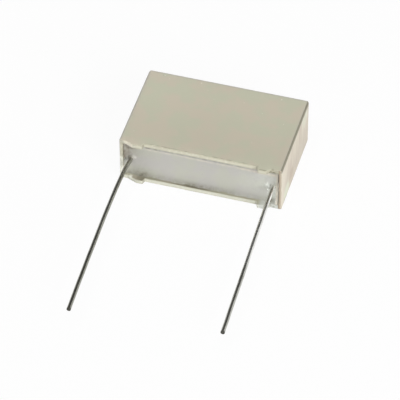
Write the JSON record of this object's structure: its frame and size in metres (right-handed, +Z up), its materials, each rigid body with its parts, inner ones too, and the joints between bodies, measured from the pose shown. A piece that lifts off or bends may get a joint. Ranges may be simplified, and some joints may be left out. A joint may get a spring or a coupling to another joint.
{
  "type": "box film capacitor",
  "caption": "Potted box film capacitor: moulded rectangular case with stand-off feet, resin-filled mouth and straight tinned wire leads, lying on a broad face.",
  "frame": {"origin": "centre of the broad face that the capacitor lies on", "axes": "+X along the case from the left lead to the right lead, -Y the way the leads leave the case, +Z up through the case's thickness"},
  "size_m": [0.0316, 0.0596, 0.01],
  "materials": {
    "case_plastic": "fine matt moulded",
    "resin": "satin, poured and cured",
    "film": "metallised film, wound and flattened",
    "sprayed_metal": "rough sprayed zinc",
    "tinned_wire": "dull tinned"
  },
  "bodies": {
    "root": {"case": "case_plastic", "resin_fill": "resin", "film_roll": "film", "left_spray": "sprayed_metal", "right_spray": "sprayed_metal", "left_lead": "tinned_wire", "right_lead": "tinned_wire"}
  },
  "joints": []
}
